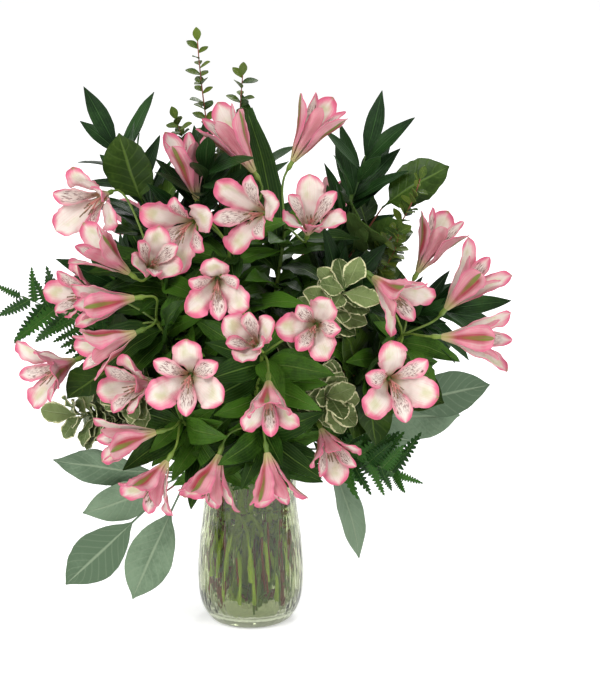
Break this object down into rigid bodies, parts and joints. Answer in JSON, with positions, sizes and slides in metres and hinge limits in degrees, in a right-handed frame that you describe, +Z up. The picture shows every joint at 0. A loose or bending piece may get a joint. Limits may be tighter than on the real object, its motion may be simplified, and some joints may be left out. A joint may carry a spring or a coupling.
{
  "type": "alstroemeria arrangement in a vase",
  "caption": "Clear glass vase of water holding pink alstroemeria stems in bloom, mixed with ruscus, salal, huckleberry, pittosporum, fern and eucalyptus foliage.",
  "frame": {"origin": "centre of the vase's base, on the surface that it stands on", "axes": "+Z up along the vase's axis, -Y the front that the fullest side of the crown faces, +X to the viewer's right"},
  "size_m": [0.4352, 0.3479, 0.5113],
  "materials": {
    "glass": "gloss",
    "water": "polished",
    "petal_pink": "matte",
    "alstroemeria_green": "satin",
    "ruscus_green": "satin",
    "salal_green": "satin",
    "huckleberry_green": "satin",
    "pittosporum_green": "satin",
    "fern_green": "satin",
    "eucalyptus_green": "matte"
  },
  "bodies": {
    "root": {"bloom_01": "petal_pink", "bloom_02": "petal_pink", "bloom_03": "petal_pink", "bloom_04": "petal_pink", "bloom_05": "petal_pink", "bloom_06": "petal_pink", "bloom_07": "petal_pink", "bloom_08": "petal_pink", "bloom_09": "petal_pink", "bloom_10": "petal_pink", "bloom_11": "petal_pink", "bloom_12": "petal_pink", "bloom_13": "petal_pink", "bloom_14": "petal_pink", "bloom_15": "petal_pink", "bloom_16": "petal_pink", "bloom_17": "petal_pink", "bloom_18": "petal_pink", "bloom_19": "petal_pink", "bloom_20": "petal_pink", "bloom_21": "petal_pink", "bloom_22": "petal_pink", "bloom_23": "petal_pink", "bloom_24": "petal_pink", "bloom_25": "petal_pink", "bloom_26": "petal_pink", "bloom_27": "petal_pink", "bloom_28": "petal_pink", "bloom_29": "petal_pink", "bloom_30": "petal_pink", "bloom_31": "petal_pink", "bloom_32": "petal_pink", "bloom_33": "petal_pink", "bloom_34": "petal_pink", "eucalyptus_left": "eucalyptus_green", "eucalyptus_right": "eucalyptus_green", "fern_left": "fern_green", "fern_right": "fern_green", "huckleberry_middle": "huckleberry_green", "huckleberry_right": "huckleberry_green", "huckleberry_top": "huckleberry_green", "pittosporum_front": "pittosporum_green", "pittosporum_left": "pittosporum_green", "ruscus_back": "ruscus_green", "ruscus_left": "ruscus_green", "ruscus_right": "ruscus_green", "salal_left": "salal_green", "salal_right": "salal_green", "stem_back_left": "alstroemeria_green", "stem_back_right": "alstroemeria_green", "stem_front": "alstroemeria_green", "stem_left": "alstroemeria_green", "stem_low_front": "alstroemeria_green", "stem_lower_left": "alstroemeria_green", "stem_right": "alstroemeria_green", "stem_top": "alstroemeria_green", "stem_top_left": "alstroemeria_green", "stem_upper_left": "alstroemeria_green", "vase": "glass", "water": "water"}
  },
  "joints": []
}
